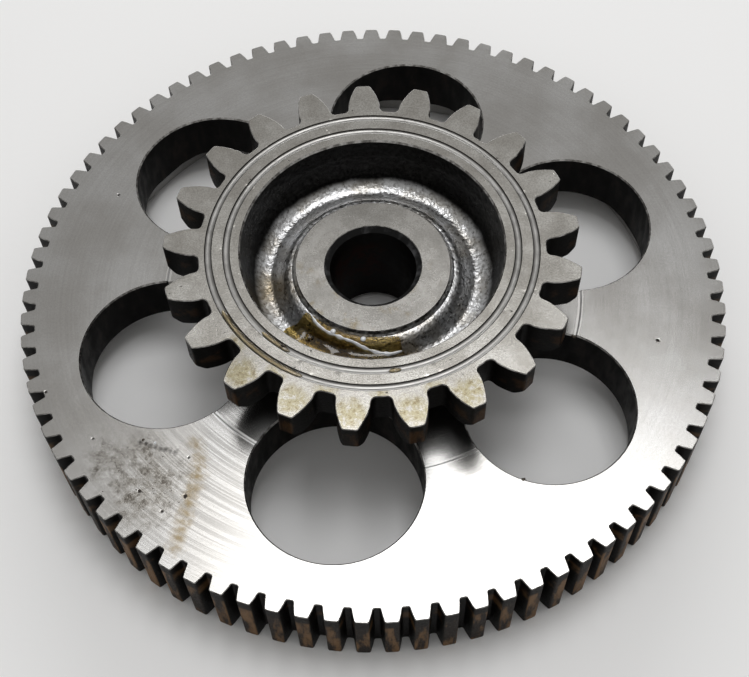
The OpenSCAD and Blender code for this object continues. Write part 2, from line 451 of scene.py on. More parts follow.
def wheel_face_steel():
    """Turned steel: concentric tool marks, a stain, a brown streak, a dark smear, small pits, and the recess
    step painted near white as a painted highlight.
    """
    n = Nodes("wheel_face_steel")
    marks = n.noise(n.rings, 2.6, 2, 0.75)
    cloud = n.noise(n.mm, 0.06, 4, 0.6)
    grime = n.noise(n.mm, 0.55, 6, 0.75)
    grain = n.noise(n.mm, 2.6, 4, 0.7)
    # tool marks are painted darker in patches at the near left
    cut = n.spots(TOOL_MARK_PATCHES)
    stained = n.most(n.spots(STAINS), n.times(n.spot(*FAINT_STAIN), 0.7))
    # the streak and the smear are chains of ragged spots
    brown = n.spots((r, a, 0.75, 1.5, 3.6, 0.8) for r, a in path_places(STREAK))
    dark = n.spots((r, a, 0.24, 0.5, 1.5, 1.0) for r, a in path_places(SMEAR))
    # the stain, the streak and the smear lie on the front only; pits and tool marks go right through
    front = n.band(n.z, 11.0, 13.0)
    stained, brown, dark = (n.times(mark, front) for mark in (stained, brown, dark))
    specks = n.times(n.band(grain, 0.60, 0.68), n.band(grime, 0.48, 0.60), stained)
    pits = n.spots((r, a, size, 0.14, 0.5, 1.8) for r, a, size in pit_places())
    colour = n.mix(n.band(cloud, 0.35, 0.7), (0.405, 0.395, 0.380), (0.455, 0.452, 0.445))
    colour = n.mix(n.times(n.band(marks, 0.42, 0.58), cut, 0.55), colour, (0.17, 0.165, 0.155))
    colour = n.mix(n.times(n.band(marks, 0.35, 0.65), 0.12), colour, (0.22, 0.215, 0.205))
    colour = n.mix(n.times(n.band(grain, 0.42, 0.62), 0.16), colour, (0.22, 0.21, 0.19))
    # painted highlight: the recess step is painted near white, strongest at the near left and faint elsewhere
    step = n.times(n.band(n.r, RECESS_RADIUS - 0.75, RECESS_RADIUS - 0.6),
                   n.band(n.r, RECESS_RADIUS + 0.1, RECESS_RADIUS + 0.3, 1.0, 0.0),
                   n.most(n.spot(RECESS_RADIUS, 231, 9, 5), 0.14))
    colour = n.mix(n.times(step, n.band(cloud, 0.2, 0.5)), colour, (0.88, 0.88, 0.87))
    colour = n.mix(n.times(stained, n.band(grime, 0.34, 0.58), 0.62), colour, (0.17, 0.155, 0.13))
    clumps = n.times(n.band(grime, 0.49, 0.60), n.band(n.noise(n.mm, 1.5, 4, 0.7), 0.40, 0.58))
    colour = n.mix(n.times(stained, clumps, 0.85), colour, (0.060, 0.050, 0.040))
    colour = n.mix(n.times(brown, n.band(grime, 0.24, 0.48), 0.92), colour, (0.16, 0.118, 0.055))
    colour = n.mix(n.most(n.times(specks, 0.8), dark, pits), colour, (0.022, 0.018, 0.016))
    rough = n.math("ADD", n.band(cloud, 0.3, 0.75, 0.22, 0.27), n.times(step, 0.35))
    normal = n.bump(n.math("ADD", n.times(marks, 0.7), n.times(grain, 0.3)), 0.006)
    normal = n.bump(n.times(n.most(n.times(specks, 0.5), pits), -1.0), 0.04, normal)
    n.turned(0.25)
    return n.done(colour, rough, normal)


def dark_wall_steel(name, colour, glint, rough=0.42):
    """Machined walls under a film of old oil, their colour painted near black as painted shade, with patches
    of a lighter glint colour.
    """
    n = Nodes(name)
    film = n.noise(n.vector("MULTIPLY", n.mm, (1.0, 1.0, 0.35)), 0.5, 4, 0.6)
    lines = n.noise(n.vector("MULTIPLY", n.mm, (0.2, 0.2, 3.0)), 1.2, 2, 0.5)
    made = n.mix(n.band(film, 0.48, 0.75), colour, glint)
    return n.done(made, n.band(film, 0.3, 0.7, rough + 0.12, rough - 0.12),
                  n.bump(lines, 0.02), metallic=0.0, Specular_IOR_Level=0.04)


def tooth_steel(name, tip, land_light, land_dark, flank_shade, face_z, shade_depth):
    """Tooth sides: brown lands marked by wear, with flanks and roots painted near black and a band just under
    the face painted darker, both as painted shade.
    """
    n = Nodes(name)
    patch = n.noise(n.vector("MULTIPLY", n.mm, (1, 1, 0.22)), 0.42, 4, 0.6)
    fine = n.noise(n.mm, 3.0, 4, 0.6)
    land = n.band(n.r, tip - 0.22, tip - 0.04)
    # painted shade: a dark band just under the face, shade_depth below it
    under = n.band(n.z, face_z - shade_depth - 0.8, face_z - shade_depth + 0.4)
    worn_lands_and_shade = n.mix(n.band(patch, 0.46, 0.60), land_dark, land_light)
    worn_lands_and_shade = n.mix(under, worn_lands_and_shade, tuple(0.25 * c for c in land_dark))
    # amber oil in a band below the face, on the outer part of the flanks
    above, below = n.band(n.z, face_z - 5.6, face_z - 4.2), n.band(n.z, face_z - 3.0, face_z - 1.8, 1.0, 0.0)
    blotch = n.band(n.noise(n.mm, 0.25, 3, 0.6), 0.46, 0.60)
    amber = n.times(above, below, blotch, n.band(n.r, tip - 5.0, tip - 3.6))
    # the flank colour is near black, painted shade in the spaces between the teeth
    sides = n.mix(n.times(amber, 0.8), flank_shade, tuple(0.7 * c for c in land_light))
    colour = n.mix(land, sides, worn_lands_and_shade)
    return n.done(colour, n.band(fine, 0.3, 0.7, 0.36, 0.56), n.bump(fine, 0.03), metallic=0.0,
                  Specular_IOR_Level=0.07)


def pinion_face_steel():
    """Ground steel, slightly yellowed by oil, with scratches and small nicks."""
    n = Nodes("pinion_face_steel")
    cloud = n.noise(n.mm, 0.16, 5, 0.6)
    scratch = n.noise(n.spokes, 1.6, 2, 0.5)
    fine = n.noise(n.rings, 7.0, 2, 0.5)
    grain = n.noise(n.mm, 3.4, 4, 0.65)
    pools = n.noise(n.mm, 0.85, 5, 0.65)
    # oil has dried on the teeth nearest the camera's side, and on the rim between them
    on_teeth = [n.spot(33.4, tooth_angle(k), 2.5, 1.3, 3.0, 0.5) for k in NEAR_TEETH]
    on_rim = [n.spot(30.7, tooth_angle(k - 0.5), 1.5, 1.3, 3.0, 0.5) for k in NEAR_TEETH]
    oily = n.most(*on_teeth, *on_rim)
    nicked = n.band(n.noise(n.mm, 0.3, 2), 0.52, 0.6)
    ticks = n.times(n.band(n.cells(n.mm, 0.62), 0.07, 0.13, 1.0, 0.0), nicked)
    colour = n.mix(n.band(cloud, 0.35, 0.7), (0.385, 0.370, 0.342), (0.455, 0.445, 0.420))
    colour = n.mix(n.times(n.band(grain, 0.42, 0.60), 0.36), colour, (0.17, 0.16, 0.14))
    colour = n.mix(n.times(oily, n.band(pools, 0.32, 0.52), 0.75), colour, (0.27, 0.238, 0.135))
    colour = n.mix(n.times(oily, n.band(pools, 0.53, 0.63), 0.7), colour, (0.13, 0.090, 0.035))
    colour = n.mix(n.times(ticks, 0.8), colour, (0.06, 0.055, 0.05))
    height = n.math("ADD", n.times(scratch, 0.5), n.math("ADD", n.times(fine, 0.3), n.times(grain, 0.2)))
    normal = n.bump(n.times(ticks, -1.0), 0.08, n.bump(height, 0.007))
    n.turned(0.2)
    return n.done(colour, n.band(cloud, 0.25, 0.75, 0.22, 0.28), normal)


def groove_steel():
    """The turned grooves, brighter in the bottom and painted dark along their edges as painted shade."""
    n = Nodes("groove_steel")
    off = n.math("MINIMUM", *(n.math("ABSOLUTE", n.math("SUBTRACT", n.r, g)) for g in GROOVES))
    # painted shade: the grooves' edges are painted near black
    edge = n.band(off, GROOVE_WIDTH * 0.33, GROOVE_WIDTH * 0.46)
    cloud = n.noise(n.mm, 0.5, 4, 0.6)
    colour = n.mix(edge, n.mix(cloud, (0.22, 0.215, 0.205), (0.36, 0.355, 0.345)), (0.035, 0.030, 0.026))
    return n.done(colour, n.band(cloud, 0.3, 0.7, 0.30, 0.42), n.bump(n.noise(n.rings, 6.0, 2), 0.015))


def forged_steel():
    """As-forged skin in the dish: a bright lumpy floor wet with oil, and a smoother wall painted black as
    painted shade.
    """
    n = Nodes("forged_steel")
    lump = n.noise(n.mm, 1.5, 4, 0.6)
    cells = n.cells(n.mm, 1.9)
    broad = n.noise(n.mm, 0.22, 3, 0.5)
    # the wall is painted black, as painted shade, from a wandering height above the floor
    height = n.math("ADD", n.z, n.times(n.math("SUBTRACT", broad, 0.5), 1.2))
    outside = n.band(n.r, FLOOR_RADIUS, FLOOR_RADIUS + 0.8)
    wall = n.times(n.band(height, FLOOR_Z + 0.4, FLOOR_Z + 1.7), outside)
    honey = n.spots(HONEY)
    floor = n.mix(n.band(lump, 0.32, 0.62), (0.30, 0.298, 0.295), (0.62, 0.625, 0.635))
    floor = n.mix(n.times(n.band(broad, 0.45, 0.65), 0.35), floor, (0.24, 0.20, 0.13))
    floor = n.mix(n.times(honey, 0.6), floor, (0.28, 0.20, 0.08))
    # painted shade: the near-black colour of the dish wall
    black = n.mix(n.band(lump, 0.4, 0.75), (0.0016, 0.0014, 0.0012), (0.010, 0.0095, 0.009))
    skin = n.math("ADD", n.times(lump, 0.7), n.times(cells, 0.3))
    normal = n.bump(n.times(skin, n.math("SUBTRACT", 1.15, wall)), 0.14)
    return n.done(n.mix(wall, floor, black), n.band(lump, 0.3, 0.7, 0.26, 0.36), normal,
                  metallic=0.97, Coat_Weight=0.06, Coat_Roughness=0.12, Coat_IOR=1.47)


def hub_face_steel():
    """The hub's faced end: light, with concentric marks and brown stains."""
    n = Nodes("hub_face_steel")
    cloud = n.noise(n.mm, 0.22, 5, 0.7)
    marks = n.noise(n.rings, 6.0, 3, 0.6)
    grain = n.noise(n.mm, 3.2, 4, 0.65)
    stain = n.times(n.band(n.noise(n.mm, 0.28, 4), 0.52, 0.68), n.band(n.y, 6.0, -8.0))
    colour = n.mix(n.band(cloud, 0.3, 0.7), (0.35, 0.34, 0.32), (0.40, 0.39, 0.372))
    colour = n.mix(n.times(n.band(grain, 0.42, 0.60), 0.30), colour, (0.17, 0.16, 0.14))
    colour = n.mix(n.times(stain, 0.6), colour, (0.22, 0.17, 0.085))
    n.turned(0.2)
    return n.done(colour, n.band(cloud, 0.3, 0.7, 0.24, 0.30), n.bump(marks, 0.008))


def bore_steel():
    """The bore: painted near black as painted shade, with a rusty patch on the far wall."""
    n = Nodes("bore_steel")
    cloud = n.noise(n.mm, 0.5, 5, 0.65)
    rust = n.times(n.spot(BORE_RADIUS, RUST_ANGLE, 5.5, 2.5, 3, 0.4), n.band(cloud, 0.38, 0.62),
                   n.band(n.z, 4.0, 9.0), n.band(n.z, 15.0, 19.0, 1.0, 0.0))
    # painted shade: the bore's walls are near black
    colour = n.mix(n.band(cloud, 0.4, 0.75), (0.0022, 0.0017, 0.0015), (0.008, 0.006, 0.005))
    colour = n.mix(n.times(rust, 0.8), colour, (0.022, 0.005, 0.003))
    return n.done(colour, n.band(cloud, 0.3, 0.7, 0.4, 0.6), n.bump(cloud, 0.03), metallic=0.0,
                  Specular_IOR_Level=0.05)


def edge_steel():
    """Broken edges: bright where the steel is handled."""
    n = Nodes("edge_steel")
    cloud = n.noise(n.mm, 0.8, 4, 0.6)
    colour = n.mix(n.band(cloud, 0.4, 0.65), (0.20, 0.19, 0.18), (0.62, 0.61, 0.59))
    return n.done(colour, n.band(cloud, 0.3, 0.7, 0.25, 0.42), n.bump(n.noise(n.mm, 3.0, 3), 0.02))


def step_highlight_steel():
    """The step round the turned recess, painted pale as a painted highlight."""
    n = Nodes("step_highlight_steel")
    cloud = n.noise(n.mm, 0.5, 3, 0.6)
    return n.done(n.mix(cloud, (0.60, 0.60, 0.59), (0.92, 0.92, 0.91)), n.band(cloud, 0.3, 0.7, 0.55, 0.7),
                  n.bump(cloud, 0.01))


def oil_film(name, deep, pale):
    """Thin honey-brown gear oil."""
    n = Nodes(name)
    tint = n.mix(n.noise(n.mm, 0.35, 3), deep, pale)
    return n.done(tint, 0.03, n.bump(n.noise(n.mm, 0.5, 1), 0.015), metallic=0.0,
                  Transmission_Weight=1.0, IOR=1.47)


def painted_oil_highlight():
    """The pale rim and bubbles of the oil: a glossy white skin that stands in for the light they catch."""
    n = Nodes("painted_oil_highlight")
    tint = n.mix(n.noise(n.mm, 0.8, 3), (0.62, 0.64, 0.66), (0.90, 0.92, 0.95))
    return n.done(tint, 0.12, n.bump(n.noise(n.mm, 0.9, 2), 0.01), metallic=0.0,
                  Coat_Weight=1.0, Coat_Roughness=0.04, Coat_IOR=1.6)


def grit():
    """Fine black grit and swarf stuck in the oil."""
    n = Nodes("grit")
    grain = n.noise(n.mm, 6.0, 3)
    colour = n.mix(grain, (0.012, 0.010, 0.009), (0.10, 0.08, 0.06))
    return n.done(colour, 0.3, n.bump(grain, 0.05), metallic=0.4)


def pale_floor():
    """The studio's floor."""
    n = Nodes("pale_floor")
    cloud = n.noise(n.mm, 0.01, 3)
    return n.done(n.mix(cloud, (0.90, 0.90, 0.90), (0.93, 0.93, 0.93)), 0.7,
                  n.bump(n.noise(n.mm, 0.8, 3), 0.02), metallic=0.0)


# ---- the wheel ------------------------------------------------------------

def front_height(r):
    """The wheel's front face, with the shallow turned recess about the pinion's seat."""
    inner = RECESS_RADIUS - RECESS_DEPTH
    share = min(max((r - inner) / (RECESS_RADIUS - inner), 0.0), 1.0)
    return SEAT_Z + RECESS_DEPTH * share


def back_height(r):
    return float(np.interp(r, [p[0] for p in BACK_PROFILE], [p[1] for p in BACK_PROFILE]))


def ring_guides(rings, radius):
    """Arcs of the rings between the lightening holes, ending exactly on the holes' edges."""
    chains = []
    for ring in rings:
        cut = crossings(radius, ring)
        if not cut:
            loop = circle(ring, 480)
            chains.append(np.vstack([loop, loop[:1]]))
            continue
        x, y = HOLE_CIRCLE + radius * math.cos(cut[0]), radius * math.sin(cut[0])
        clear = math.atan2(y, x)
        pitch = TAU / HOLE_COUNT
        for k in range(HOLE_COUNT):
            a0 = math.radians(HOLE_ANGLE) + k * pitch + clear
            steps = np.linspace(a0, a0 + pitch - 2 * clear, 40)
            chains.append(np.array([polar(ring, a) for a in steps]))
    return chains


def spare_points(rings, outer_limit, step=2.6):
    """Even points over a face that keep its triangles near square."""
    kept = []
    radius = SPIGOT_RADIUS + 2.5
    while radius < outer_limit:
        if all(abs(radius - ring) > step * 0.4 for ring in rings):
            count = int(TAU * radius / step)
            for p in circle(radius, count):
                if all(np.linalg.norm(p - c) > HOLE_RADIUS + 1.4 for c in hole_centres()):
                    kept.append(p)
        radius += step
    return kept


def holes_at(radius, angles):
    """One loop round each lightening hole, with angles from the outward direction."""
    loops = []
    for k, centre in enumerate(hole_centres()):
        turn = math.radians(HOLE_ANGLE) + k * TAU / HOLE_COUNT
        loops.append(np.array([centre + polar(radius, turn + a) for a in angles]))
    return loops


def wheel_side(shell, outline, height, rings, seat_radius, down, edge_z, finish, edge):
    """One face of the wheel with its broken edges. down is -1 at the front and 1 at the back."""
    chamfered = HOLE_RADIUS + HOLE_CHAMFER
    angles = hole_angles(chamfered, rings)
    wide_loops, loops = holes_at(chamfered, angles), holes_at(HOLE_RADIUS, angles)
    outer, inner = shell.region(inset(outline, EDGE_BREAK), [circle(seat_radius, 180), *wide_loops], height,
                                finish, ring_guides(rings, chamfered), spare_points(rings, 60.0))
    rim = shell.add(outline, edge_z + down * EDGE_BREAK)
    shell.strip(outer, rim, edge)
    mouths = []
    for top, loop, wide in zip(inner[1:], loops, wide_loops):
        heights = [height(math.hypot(*p)) + down * HOLE_CHAMFER for p in wide]
        mouth = shell.add(loop, heights)
        shell.strip(top, mouth, edge)
        mouths.append((mouth, angles))
    return rim, inner[0], mouths


def build_wheel():
    shell = Shell()
    face, teeth, wall, edge, step = range(5)
    outline = tooth_outline(WHEEL_TEETH, 3, 4, 2, 0.28)
    step_rings = [RECESS_RADIUS - RECESS_DEPTH, RECESS_RADIUS]
    back_rings = [p[0] for p in BACK_PROFILE[1:]]

    # the step ring between these radii takes the pale painted-highlight material
    def front_finish(r):
        return step if step_rings[0] < r < step_rings[1] else face

    rim, bore, mouths = wheel_side(shell, outline, front_height, step_rings, SPIGOT_RADIUS, -1, RIM_WIDTH,
                                   front_finish, edge)
    low_rim, low_bore, low_mouths = wheel_side(shell, outline, back_height, back_rings, BACK_PROFILE[0][0],
                                               1, 0.0, face, edge)
    shell.strip(rim, low_rim, teeth)
    seat = shell.add(circle(SPIGOT_RADIUS, 180), 0.4)
    shell.strip(low_bore, seat, edge)
    shell.strip(seat, bore, wall)
    for (top, top_angles), (low, low_angles) in zip(mouths, low_mouths):
        bridge(shell, top, top_angles, low, low_angles, wall)
    # painted shade: the near-black flank colour and the band 2.6 mm under the face
    tooth_sides = tooth_steel("wheel_tooth_steel", WHEEL_TEETH["tip"], (0.17, 0.095, 0.042),
                              (0.014, 0.009, 0.006), (0.0024, 0.0018, 0.0014), RIM_WIDTH, 2.6)
    # painted shade: the hole walls are painted near black
    hole_wall = dark_wall_steel("hole_wall_steel", (0.0022, 0.0018, 0.0014), (0.012, 0.0065, 0.004))
    materials = [wheel_face_steel(), tooth_sides, hole_wall, edge_steel(), step_highlight_steel()]
    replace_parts(shell.piece("wheel_gear", materials), "wheel")


def bridge(shell, a, angles_a, b, angles_b, finish):
    """A band of triangles between two loops that don't have the same angles."""
    i = j = 0
    while i < len(a) or j < len(b):
        next_a = angles_a[i + 1] if i + 1 < len(a) else TAU + angles_a[0]
        next_b = angles_b[j + 1] if j + 1 < len(b) else TAU + angles_b[0]
        ai, bj = a[i % len(a)], b[j % len(b)]
        if j >= len(b) or (i < len(a) and next_a <= next_b):
            shell.face([ai, a[(i + 1) % len(a)], bj], finish)
            i += 1
        else:
            shell.face([ai, b[(j + 1) % len(b)], bj], finish)
            j += 1


# ---- the pinion -----------------------------------------------------------

# finishes of the pinion's surfaces, in the order of its materials
FACE, GROOVE, FORGED, HUB, BORE, TEETH, EDGE, NECK, CHAMFER = range(9)


def groove_section(middle):
    """A half-elliptic groove from its outer edge to its inner edge."""
    steps = np.linspace(0, math.pi, 13)
    return [(middle + GROOVE_WIDTH / 2 * math.cos(a), FRONT_Z - GROOVE_DEPTH * math.sin(a)) for a in steps]


def dish_section():
    """From the dish's mouth down its wall, over the floor and up to the hub's shoulder."""
    foot = FLOOR_Z + 0.62 * (FRONT_Z - FLOOR_Z)
    out = [(DISH_RADIUS, FRONT_Z - 0.3)]
    for a in np.linspace(0, math.pi / 2, 18):
        out.append((FLOOR_RADIUS + (DISH_RADIUS - 0.3 - FLOOR_RADIUS) * math.cos(a),
                    foot - (foot - FLOOR_Z) * math.sin(a)))
    shoulder = (HUB_RADIUS + 0.5, HUB_Z - 0.9)
    for t in np.linspace(0, 1, 18)[1:]:
        out.append((FLOOR_RADIUS + (shoulder[0] - FLOOR_RADIUS) * t,
                    FLOOR_Z + (shoulder[1] - FLOOR_Z) * (1 - math.cos(math.pi * t)) / 2))
    out += [(HUB_RADIUS + 0.1, HUB_Z - 0.5)]
    return out


def subdivided(points, step):
    out = [points[0]]
    for p, q in zip(points[:-1], points[1:]):
        n = max(1, math.ceil(math.dist(p, q) / step))
        out += [(p[0] + (q[0] - p[0]) * i / n, p[1] + (q[1] - p[1]) * i / n) for i in range(1, n + 1)]
    return out


def lumps(x, y, z):
    """Height of the forged skin, about -1 to 1."""
    p = Vector((x, y, z))
    return 0.55 * noise.noise(p * 0.95) + 0.30 * noise.noise(p * 0.33) + 0.35 * noise.noise(p * 2.1)


def nick_list():
    """Small dents along the edges of the face grooves, as (radius, angle, half length, half width, depth)."""
    draw = random.Random(SEED)
    edges = [g + s * GROOVE_WIDTH / 2 for g in GROOVES for s in (-1, 1)]
    nicks = []
    for k in range(64):
        low, high = (70, 135) if k % 2 else (0, 360)
        nicks.append((draw.choice(edges) + draw.uniform(-0.25, 0.25), math.radians(draw.uniform(low, high)),
                      draw.uniform(0.12, 0.38), draw.uniform(0.08, 0.18), draw.uniform(0.04, 0.10)))
    return nicks


def dented(rows):
    """How far each point of the face is pressed in, rows by turns."""
    radii = np.array([r for r, _ in rows])[:, None]
    angles = (np.arange(TURNS) * TAU / TURNS)[None, :]
    depth = np.zeros((len(rows), TURNS))
    for r, a, long, wide, deep in nick_list():
        across = (angles - a + math.pi) % TAU - math.pi
        depth = np.maximum(depth, deep * np.exp(-((radii - r) / long) ** 2 - (across * r / wide) ** 2))
    return depth


def pinion_sections():
    """The turned profile: face, dish, hub, bore, spigot and the neck behind the teeth.

    Each section has its finish, its points as (radius, height), its longest step and its roughness.
    """
    lip = [(DISH_RADIUS + 0.3, FRONT_Z), (DISH_RADIUS, FRONT_Z - 0.3)]
    inner, outer = groove_section(GROOVES[0]), groove_section(GROOVES[1])
    shoulder = [(HUB_RADIUS + 0.1, HUB_Z - 0.5), (HUB_RADIUS, HUB_Z - 0.25), (HUB_RADIUS - 0.25, HUB_Z)]
    mouth, bore_top = (BORE_RADIUS + BORE_CHAMFER, HUB_Z), (BORE_RADIUS, HUB_Z - BORE_CHAMFER)
    mouth_rim = (BORE_RADIUS + 0.9 * BORE_CHAMFER, HUB_Z - 0.1 * BORE_CHAMFER)
    bore_low, back_mouth = (BORE_RADIUS, BORE_CHAMFER), (BORE_RADIUS + BORE_CHAMFER, 0)
    spigot_end, spigot_low = (SPIGOT_RADIUS - SPIGOT_CHAMFER, 0), (SPIGOT_RADIUS, SPIGOT_CHAMFER)
    seat = [(SPIGOT_RADIUS, SEAT_Z), (SEAT_RADIUS, SEAT_Z), (SEAT_RADIUS + SEAT_BEVEL, SEAT_Z + SEAT_BEVEL)]
    neck_top = (NECK_TOP_RADIUS, BACK_Z)
    return [
        (FACE, [(FACE_RING, FRONT_Z), outer[0]], 0.2, 0),
        (GROOVE, outer, 1, 0),
        (FACE, [outer[-1], inner[0]], 0.17, 0),
        (GROOVE, inner, 1, 0),
        (FACE, [inner[-1], lip[0]], 0.2, 0),
        (EDGE, lip, 0.2, 0),
        (FORGED, dish_section(), 0.27, 0.11),
        (EDGE, shoulder, 1, 0),
        (HUB, [shoulder[-1], mouth], 1.0, 0),
        (EDGE, [mouth, mouth_rim], 2, 0),
        (CHAMFER, [mouth_rim, bore_top], 2, 0),
        (BORE, [bore_top, bore_low], 4, 0),
        (EDGE, [bore_low, back_mouth], 2, 0),
        (HUB, [back_mouth, spigot_end], 2, 0),
        (EDGE, [spigot_end, spigot_low], 2, 0),
        (NECK, [spigot_low, *seat], 20, 0),
        (NECK, [seat[-1], neck_top], 0.6, 0.10),
        (NECK, [neck_top, (FACE_RING, BACK_Z)], 2, 0),
    ]


def turned_rows(sections):
    """The profile's points in small steps, with a finish for each step and a roughness for each point."""
    rows, finish, rough = [], [], []
    for kind, points, step, lumpy in sections:
        part = subdivided(points, step)
        fade = [min(1.0, i / 4, (len(part) - 1 - i) / 4) * lumpy for i in range(len(part))]
        skip = 1 if rows else 0
        rows += part[skip:]
        rough += fade[skip:]
        finish += [kind] * (len(part) - 1)
    return rows, finish, rough


def turn_pinion(shell):
    """Everything inside the teeth, turned about the axis. Returns its first and its last loop."""
    rows, finish, rough = turned_rows(pinion_sections())
    dents = dented([row if row[1] > FRONT_Z - 1 else (0.0, 0.0) for row in rows])
    angles = np.arange(TURNS) * TAU / TURNS
    across, along = np.cos(angles), np.sin(angles)
    loops = []
    for i, (r, z) in enumerate(rows):
        before, after = rows[max(i - 1, 0)], rows[min(i + 1, len(rows) - 1)]
        run = np.array([after[0] - before[0], after[1] - before[1]])
        run /= max(np.linalg.norm(run), 1e-9)
        x, y, h = r * across, r * along, np.full(TURNS, z) - dents[i]
        if rough[i]:
            raised = np.array([lumps(a, b, z) for a, b in zip(x, y)]) * rough[i]
            x, y, h = x - raised * run[1] * across, y - raised * run[1] * along, h - raised * run[0]
        loops.append(shell.add(np.stack([x, y], 1), h))
    for i, kind in enumerate(finish):
        shell.strip(loops[i], loops[i + 1], kind)
    return loops[0], loops[-1]


def stitch(shell, a, b):
    """Makes two loops that lie on each other one and the same."""
    swap = dict(zip(a, b))
    shell.faces = [[swap.get(v, v) for v in f] for f in shell.faces]


def add_teeth(shell, front_loop, back_loop):
    """The toothed ring round the turned part, with its tips chamfered at the back."""
    outline = tooth_outline(PINION_TEETH, 7, 12, 5, 0.3)
    front, front_ring = shell.region(inset(outline, EDGE_BREAK), [circle(FACE_RING)], lambda r: FRONT_Z, FACE)
    stitch(shell, front_ring[0], front_loop)
    rim = shell.add(outline, FRONT_Z - EDGE_BREAK)
    shell.strip(front, rim, EDGE)
    # at the back the tips are cut by a cone, whose lines run straight in towards the axis
    cone_start = PINION_TEETH["tip"] - TIP_CHAMFER
    radii = np.linalg.norm(outline, axis=1)
    beyond = np.maximum(radii - cone_start, 0)
    pulled = outline * np.minimum(1.0, cone_start / radii)[:, None]
    flank_end = shell.add(outline, BACK_Z + np.maximum(beyond, EDGE_BREAK))
    shell.strip(rim, flank_end, TEETH)
    back, back_ring = shell.region(inset(pulled, EDGE_BREAK), [circle(FACE_RING)], lambda r: BACK_Z, NECK)
    cone = shell.add(pulled, BACK_Z + EDGE_BREAK)
    shell.strip(flank_end, cone, TEETH)
    shell.strip(cone, back, EDGE)
    stitch(shell, back_ring[0], back_loop)


def build_pinion():
    shell = Shell()
    add_teeth(shell, *turn_pinion(shell))
    # painted shade: the near-black flank colour and the band 1.5 mm under the face
    tooth_sides = tooth_steel("pinion_tooth_steel", PINION_TEETH["tip"], (0.055, 0.026, 0.009),
                              (0.008, 0.005, 0.003), (0.0026, 0.0019, 0.0014), FRONT_Z, 1.5)
    # painted shade: the neck under the teeth is painted near black
    neck = dark_wall_steel("neck_steel", (0.004, 0.0032, 0.0026), (0.016, 0.011, 0.008))
    # painted shade on the bore's chamfer, with a grey painted highlight as its glint
    chamfer = dark_wall_steel("chamfer_steel", (0.014, 0.014, 0.014), (0.075, 0.075, 0.078), 0.36)
    materials = [pinion_face_steel(), groove_steel(), forged_steel(), hub_face_steel(), bore_steel(),
                 tooth_sides, bpy.data.materials["edge_steel"], neck, chamfer]
    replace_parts(shell.piece("pinion_gear", materials), "pinion")


# ---- oil and grit ---------------------------------------------------------

def dish_height(r):
    """The dish's surface at a radius on its floor or the foot of its wall."""
    section = [p for p in dish_section() if p[1] < FRONT_Z - 4]
    section.sort()
    return float(np.interp(r, [p[0] for p in section], [p[1] for p in section]))


def sheet(shell, lines):
    """Adds lines of points. Returns their vertex numbers, line by line."""
    return [shell.add([p[:2] for p in line], [p[2] for p in line]) for line in lines]


def close_sheets(shell, top, low):
    """The faces of two sheets and of the walls that join their borders."""
    last = len(top[0]) - 1
    for numbers in (top, low):
        for p, q in zip(numbers[:-1], numbers[1:]):
            for i in range(last):
                shell.face([p[i], p[i + 1], q[i + 1], q[i]], 0)
    for k in (0, -1):
        for i in range(last):
            shell.face([top[k][i], top[k][i + 1], low[k][i + 1], low[k][i]], 0)
    for i in (0, last):
        for k in range(len(top) - 1):
            shell.face([top[k][i], top[k + 1][i], low[k + 1][i], low[k][i]], 0)


def oil_patch(name, angles, middle, half_width, swell, ground, sink, skin, across=10):
    """A lens of oil along an arc: its edges dip under the metal, and its top is round."""
    shell = Shell()
    top, low = [], []
    shares = [2 * i / across - 1 for i in range(across + 1)]
    for a in angles:
        line = []
        for t in shares:
            r = middle(a) + half_width(a) * t
            rise = swell(a) * (1 - t * t) - sink * t ** 4
            line.append((*polar(r, math.radians(a)), ground(r) + rise))
        top.append(line)
        low.append([(x, y, z - 0.35 * (1 - abs(t) ** 4) - 0.02) for t, (x, y, z) in zip(shares, line)])
    close_sheets(shell, sheet(shell, top), sheet(shell, low))
    shell.piece(name, [skin], smooth_below=80)


def taper(a, low, high, ends):
    """1 along an arc, falling to 0 over its ends, with a little wander."""
    share = min(1.0, max(a - low, 0.0) / ends, max(high - a, 0.0) / ends)
    return max(0.02, math.sqrt(share) * (1 + 0.28 * noise.noise(Vector((a * 0.17, 4.0, 0)))))


def dish_oil(skin):
    """The pool in the dish: level in the trough, climbing the hub's shoulder in a meniscus."""
    shell = Shell()
    first, last = POOL_ANGLES
    radii = np.linspace(*POOL_RADII, 40)
    top, low = [], []
    for a in np.arange(first, last, 0.5):
        share = min(1.0, max(0.0, (a - first) / POOL_RAMPS[0]), max(0.0, (last - a) / POOL_RAMPS[1]))
        share = share * share * (3 - 2 * share)
        wave = noise.noise(Vector((a * 0.11, 7.0, 0)))
        level = FLOOR_Z - 0.5 + (1.60 + 0.25 * wave) * share
        soft = 0.16 + 0.10 * noise.noise(Vector((a * 0.2, 1.0, 3.0)))
        film = -0.30 + 0.60 * share
        line = []
        for r in radii:
            end = min(1.0, (r - radii[0]) / 0.5, (radii[-1] - r) / 0.9)
            climb = (dish_height(r) + film - 0.4 * (1 - end) - level) / soft
            rise = soft * (climb if climb > 30 else math.log1p(math.exp(climb)))
            line.append((*polar(r, math.radians(a)), level + rise))
        top.append(line)
        low.append([(x, y, min(z - 0.02, dish_height(r) - 0.3)) for r, (x, y, z) in zip(radii, line)])
    close_sheets(shell, sheet(shell, top), sheet(shell, low))
    shell.piece("oil_dish", [skin], smooth_below=80)


